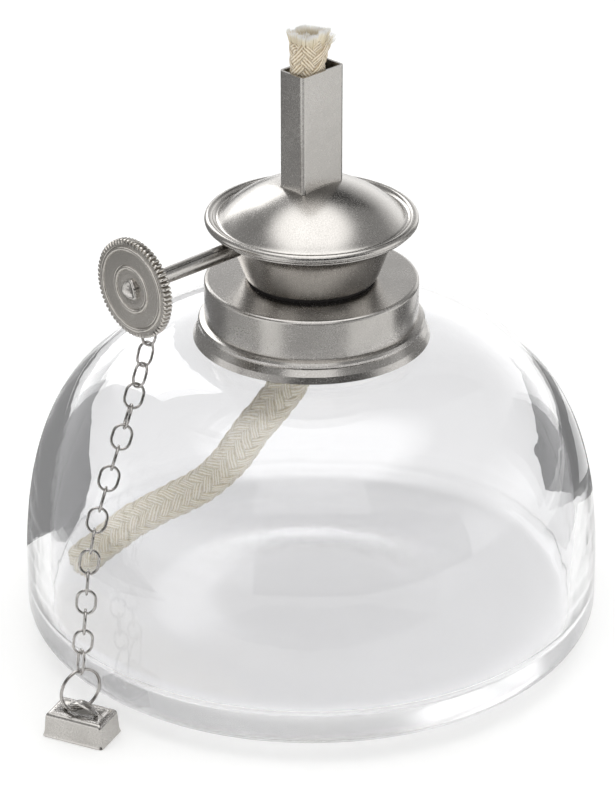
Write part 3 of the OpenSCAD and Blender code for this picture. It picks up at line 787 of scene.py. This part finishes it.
knob = {
    "wide": 16.0,
    "bore": 0.72,
    "teeth": 64,
    "toothSteps": 8,
    "notch": 0.5,  # depth of the straight knurl, cut coarse enough to show
    "notchWide": 0.55,  # as a share of the way from tooth to tooth
    "notchEnds": 0.9,
    "notchRise": 1.6,
    # inset and height from the back, round the edge to the face
    "edge": [
        (0.35, 0), (0.1, 0.07), (0, 0.25), (0, 0.7), (0, 1.1), (0.1, 1.34), (0.35, 1.5), (0.7, 1.5),
    ],
    "face": 1.5,
    "rings": (6.6, 3.55),
    "ringHalf": 0.3,
    "ringHigh": 0.2,
    "ringSink": 0.03,
    "groove": [(0.12, 0), (0.03, 0.05)],  # beside each ring: distance and depth
    "dish": [(2.4, 0), (1.9, 0.04)],  # radius and depth
    "dishDeep": 0.06,
}
peen = {
    "shaft": 0.7,
    "reach": 1.6,
    "high": 0.55,
    "behind": 0.3,
    "steps": 60,
    "button": [(1.0, 0.3), (0.97, 0.75), (0.86, 0.98), (0.72, 0.95), (0.55, 0.6), (0.3, 0.42)],
    "hollow": 0.4,
    "waves": [(3, 0.1, 1), (6, 0.05, 2.2)],  # of the outline: count, share and phase
    "slant": (2, 0.25, 0.6),  # of the top: count, share and phase
    "slantUpTo": 0.6,
    "slantLeast": -0.1,
}


def knobPoint(k, r, t, angle, middle, back):
    near = max(0.0, 1 - (k["wide"] / 2 - r) / k["notchEnds"])
    tooth = abs((angle * k["teeth"] / (2 * math.pi)) % 1 - 0.5) * 2
    r -= k["notch"] * min(near * k["notchRise"], 1.0) * max(0.0, 1 - tooth / k["notchWide"])
    return (back - t, middle[0] + r * math.cos(angle), middle[1] + r * math.sin(angle))


def knobLine(k):
    # half the disc's section, as radius and height from the back
    face, half = k["face"], k["ringHalf"]
    line = [(k["bore"], 0)] + [(k["wide"] / 2 - inset, high) for inset, high in k["edge"]]
    for ring in k["rings"]:
        line += [(ring + half + away, face - deep) for away, deep in k["groove"]]
        for a in np.radians(np.arange(0, 181, 18)):
            line.append((ring + half * math.cos(a), face - k["ringSink"] + k["ringHigh"] * math.sin(a)))
        line += [(ring - half - away, face - deep) for away, deep in k["groove"][::-1]]
    line += [(r, face - deep) for r, deep in k["dish"]]
    return line + [(k["bore"], face - k["dishDeep"])]


def makeShaft(p, face, middle, end):
    # the shaft, hammered over at the knob into an uneven button with a low middle
    n, under = p["steps"], face + p["behind"]
    rings = [(p["shaft"], end, 0), (p["shaft"], under, 0), (p["reach"], under, 1)]
    for share, rise in p["button"]:
        rings.append((p["reach"] * share, face - p["high"] * rise, 1))
    slantCount, slantShare, slantPhase = p["slant"]
    points = [(end, *middle)]
    for r, x, uneven in rings:
        for a in np.linspace(0, 2 * math.pi, n, endpoint=False):
            wave = sum(share * math.cos(count * a + phase) for count, share, phase in p["waves"])
            reach = r * (1 + uneven * wave)
            lift = uneven * min(face - x, p["slantUpTo"]) * slantShare
            lift *= math.cos(slantCount * a + slantPhase)
            raised = x - max(lift, p["slantLeast"])
            points.append((raised, middle[0] + reach * math.cos(a), middle[1] + reach * math.sin(a)))
    points.append((face - p["high"] * p["hollow"], *middle))
    last = 1 + (len(rings) - 1) * n
    faces = [(0, 1 + j, 1 + (j + 1) % n) for j in range(n)]
    faces += bandFaces(1, len(rings), n, turned=True)
    faces += [(last + j, len(points) - 1, last + (j + 1) % n) for j in range(n)]
    piece = makePiece("spindleShaft", points, faces, nickelSheet, "feed")
    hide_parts("spindle")


def makeKnob(k):
    low, high = [np.array(corner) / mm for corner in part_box("knob")]
    middle = (low[1:] + high[1:]) / 2
    back = high[0]
    line = knobLine(k)
    turns = k["teeth"] * k["toothSteps"]
    points = []
    for r, t in line:
        points += [knobPoint(k, r, t, 2 * math.pi * j / turns, middle, back) for j in range(turns)]
    faces = bandFaces(0, len(line), turns, closed=True, turned=True)
    piece = makePiece("knobDisc", points, faces, nickelKnob, "feed", smooth=False)
    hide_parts("knob")
    makeShaft(peen, back - k["face"], middle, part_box("spindle")[1][0] / mm)


makeKnob(knob)
print("knob turned and knurled")

# snuffer cap

snuffer = {
    "middle": (-52.749, -1.7954),
    "turn": 110.975,
    "half": (5.4, 3.45),
    "corner": 0.65,
    "cornerShrink": 0.5,  # share of the inset that the corner's radius loses
    "cornerLeast": 0.15,
    "cornerSteps": 9,
    # inset and height up the wall: pulled lip, drawn wall, then the shoulder
    "wall": [(0.0, 0.0), (0.03, 0.12), (0.12, 0.4), (0.2, 0.8), (0.26, 1.5), (0.34, 2.6), (0.4, 3.3)],
    "shoulder": 0.8,
    "high": 4.1,
    "sheet": 0.3,
    "slot": (2.95, 0.82),  # the hole that the lanced lug leaves
    "slotPinch": 0.2,
}
lug = {
    "half": 3.1,
    "wide": 1.55,
    "endWide": 0.12,
    "taper": 3,
    "endRound": 0.6,
    "rise": 1.62,
    "arch": 1.15,
    "sink": 0.2,
    "thick": 0.34,
    "square": 0.6,  # 1 is an oval section, and less is squarer
    "rings": 33,
    "sides": 12,
}


def capRing(c, inset, z):
    a, b = c["half"][0] - inset, c["half"][1] - inset
    corner = max(c["corner"] - inset * c["cornerShrink"], c["cornerLeast"])
    ring = []
    for sx, sy, start in ((1, 1, 0), (-1, 1, 90), (-1, -1, 180), (1, -1, 270)):
        for angle in np.radians(np.linspace(start, start + 90, c["cornerSteps"])):
            x = sx * (a - corner) + corner * math.cos(angle)
            ring.append((x, sy * (b - corner) + corner * math.sin(angle), z))
    return ring


def slotRing(c, z):
    # a lens, with as many points as a ring of the wall
    ring = []
    for start in (0, 90, 180, 270):
        for angle in np.radians(np.linspace(start, start + 90, c["cornerSteps"])):
            x, y = math.cos(angle), math.sin(angle)
            ring.append((c["slot"][0] * x, c["slot"][1] * y * abs(y) ** c["slotPinch"], z))
    return ring


def placeCap(c, points):
    # from the cap's own middle and turn to where it hangs
    turn = math.radians(c["turn"])
    x, y, z = np.array(points, float).T
    placedX = c["middle"][0] + x * math.cos(turn) - y * math.sin(turn)
    placedY = c["middle"][1] + x * math.sin(turn) + y * math.cos(turn)
    return np.stack([placedX, placedY, z], 1)


def makeCap(c):
    wall = curveThrough(c["wall"], 4)
    inset = wall[-1][0]
    shoulder = []
    for a in np.radians(np.arange(0, 91, 9)):
        drawn = inset + c["shoulder"] * (1 - math.cos(a))
        shoulder.append((drawn, c["high"] - c["shoulder"] * (1 - math.sin(a))))
    sheet = c["sheet"]
    outer = [capRing(c, i, z) for i, z in wall[:-1] + shoulder]
    inner = [capRing(c, i + sheet, z) for i, z in wall[:-1]]
    inner += [capRing(c, i + sheet, z - sheet) for i, z in shoulder[1:]]
    rings = outer + [slotRing(c, c["high"]), slotRing(c, c["high"] - sheet)] + inner[::-1]
    faces = bandFaces(0, len(rings), len(rings[0]), closed=True)
    points = placeCap(c, [p for ring in rings for p in ring])
    cap = makePiece("snufferCap", points, faces, nickelSheet, "snuffer")
    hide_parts("snuffer_cap")


def makeLug(g, c):
    # a strip that arches over the slot, pointed at both ends
    points = []
    for t in np.linspace(-1, 1, g["rings"]):
        x = g["half"] * t
        z = c["high"] - g["sink"] + g["rise"] * math.cos(t * math.pi / 2) ** g["arch"]
        slope = -g["rise"] * g["arch"] * math.sin(t * math.pi / 2) * math.pi / 2 / g["half"]
        way = np.array([1, slope]) / math.hypot(1, slope)
        wide = g["wide"] / 2 * max(1 - abs(t) ** g["taper"], 0.0) ** g["endRound"] + g["endWide"]
        for k in range(g["sides"]):
            a = 2 * math.pi * k / g["sides"]
            across = wide * math.copysign(abs(math.cos(a)) ** g["square"], math.cos(a))
            off = g["thick"] / 2 * math.copysign(abs(math.sin(a)) ** g["square"], math.sin(a))
            points.append((x - way[1] * off, across, z + way[0] * off))
    faces = tubeFaces(0, g["rings"], g["sides"])
    piece = makePiece("snufferLug", placeCap(c, points), faces, nickelSheet, "snuffer")
    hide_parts("snuffer_lug")


makeCap(snuffer)
makeLug(lug, snuffer)
print("snuffer pressed")

# floor, cards, light

studio = {
    "floor": "#f4f4f3",
    "floorGlow": 0.24,
    "floorWide": 6,
    "floorDrop": 0.05,
    # strength of the sky by the sine of its height: bright far wall, dim band, soft box overhead
    "sky": [(0.0, 1.5), (0.2, 1.4), (0.38, 0.8), (0.52, 0.35), (0.82, 0.3), (0.92, 2.1), (1.0, 2.1)],
    # light runs round inside the thick foot of the glass, so it's followed further than usual
    "bounces": 32,
    "glossyBounces": 24,
    "glassBounces": 24,
}
# cards and light boxes that show only in reflections and through the glass: corners in mm to the right of
# the lamp, behind it and up; the ones marked metal are kept out of what shows through the glass
cards = {
    "cardLeft": {
        "strength": 0.26,
        "corners": [
            (-46, 22, 0.1), (-46, 50, 0.1), (-75, 164, 0.1), (-130, 400, 0.1),
            (-400, 400, 0.1), (-400, -80, 0.1), (-110, -80, 0.1), (-110, 22, 0.1),
        ],
    },
    "cardRight": {
        "strength": 0.2,
        "corners": [
            (50, 44, 0.1), (50, 62, 0.1), (80, 164, 0.1), (120, 300, 0.1), (320, 300, 0.1), (190, 44, 0.1),
        ],
    },
    "cardSideLeft": {
        "strength": 0.3,
        "corners": [(-300, 40, 0), (-360, 430, 0), (-360, 430, 260), (-300, 40, 260)],
    },
    "cardSideRight": {
        "strength": 0.3,
        "corners": [(300, 60, 0), (330, 330, 0), (330, 330, 220), (300, 60, 220)],
    },
    "cardBackRight": {
        "strength": 0.0,
        "metal": True,
        "corners": [(120, 520, 460), (395, 490, 460), (395, 490, 880), (120, 520, 880)],
    },
    "cardFront": {
        "strength": 0.5,
        "metal": True,
        "corners": [(-90, -300, 0.1), (110, -300, 0.1), (90, -105, 0.1), (-70, -105, 0.1)],
    },
    "cardLow": {
        "strength": 0.15,
        "metal": True,
        "corners": [(-430, 470, 0.2), (-70, 560, 0.2), (-70, 560, 90), (-430, 470, 90)],
    },
    "cardWall": {
        "strength": 0.12,
        "metal": True,
        "corners": [(96, 8, 0.4), (190, 8, 0.4), (190, 64, 0.4), (106, 50, 0.4)],
    },
    "boxWall": {
        "strength": 1.1,
        "metal": True,
        "corners": [(62, 56, 0.4), (106, 60, 0.4), (120, 130, 0.4), (72, 134, 0.4)],
    },
    "cardRoom": {
        "strength": 0.03,
        "metal": True,
        "corners": [(-280, -700, 0), (1500, -700, 0), (1500, -700, 620), (-280, -700, 620)],
    },
    "cardKnob": {
        "strength": 0.5,
        "metal": True,
        "corners": [(-222, -100, 0.4), (-112, -100, 0.4), (-112, 18, 0.4), (-190, 18, 0.4)],
    },
    "boxBackLeft": {
        "strength": 3.2,
        "corners": [(-390, 490, 205), (-150, 550, 205), (-150, 550, 600), (-390, 490, 600)],
    },
    "boxFront": {
        "strength": 1.35,
        "metal": True,
        "corners": [(-240, -470, 400), (240, -470, 400), (200, -260, 740), (-200, -260, 740)],
    },
}


def glowMaterial(name, colour, rough, specular, strength):
    values = {
        "Base Color": colour,
        "Roughness": rough,
        "Specular IOR Level": specular,
        "Emission Color": (1, 1, 1, 1),
        "Emission Strength": strength,
    }
    return startMaterial(name, values)[0]


def makeFloor(s):
    bpy.ops.mesh.primitive_plane_add(size=s["floorWide"], location=(0, 0, -s["floorDrop"] * mm))
    floor = bpy.context.object
    floor.name = "studioFloor"
    material = glowMaterial("paleFloor", linear(s["floor"]), 0.6, 0.1, s["floorGlow"])
    floor.data.materials.append(material)


def makeCard(name, card):
    right, ahead, up = Vector(camera["right"]), Vector(camera["ahead"]), Vector((0, 0, 1))
    corners = [(right * a + ahead * b + up * c) * mm for a, b, c in card["corners"]]
    mesh = bpy.data.meshes.new(name)
    mesh.from_pydata([tuple(c) for c in corners], [], [tuple(range(len(corners)))])
    piece = bpy.data.objects.new(name, mesh)
    bpy.context.scene.collection.objects.link(piece)
    mesh.materials.append(glowMaterial(name, (0, 0, 0, 1), 1.0, 0.0, card["strength"]))
    piece.visible_camera = False
    piece.visible_shadow = False
    piece.visible_diffuse = False
    if card.get("metal"):
        piece.visible_transmission = False


def makeWorld(sky):
    world = bpy.data.worlds.new("studioWorld")
    bpy.context.scene.world = world
    world.use_nodes = True
    tree = world.node_tree
    tree.nodes.clear()
    way = addNode(tree, "ShaderNodeTexCoord").outputs["Generated"]
    up = addNode(tree, "ShaderNodeSeparateXYZ", {"Vector": way}).outputs["Z"]
    curve = addNode(tree, "ShaderNodeValToRGB", {"Fac": up})
    elements = curve.color_ramp.elements
    top = max(value for _, value in sky)
    for k, (place, value) in enumerate(sky):
        element = elements[k] if k < 2 else elements.new(place)
        element.position = place
        element.color = (value / top,) * 3 + (1,)
    back = addNode(tree, "ShaderNodeBackground", {"Color": curve.outputs["Color"], "Strength": top})
    addNode(tree, "ShaderNodeOutputWorld", {"Surface": back.outputs[0]})


makeFloor(studio)
makeWorld(studio["sky"])
for name, card in cards.items():
    makeCard(name, card)
bpy.context.scene.view_settings.view_transform = "Standard"
cycles = bpy.context.scene.cycles
cycles.max_bounces = studio["bounces"]
cycles.glossy_bounces = studio["glossyBounces"]
cycles.transmission_bounces = studio["glassBounces"]
print("studio ready")
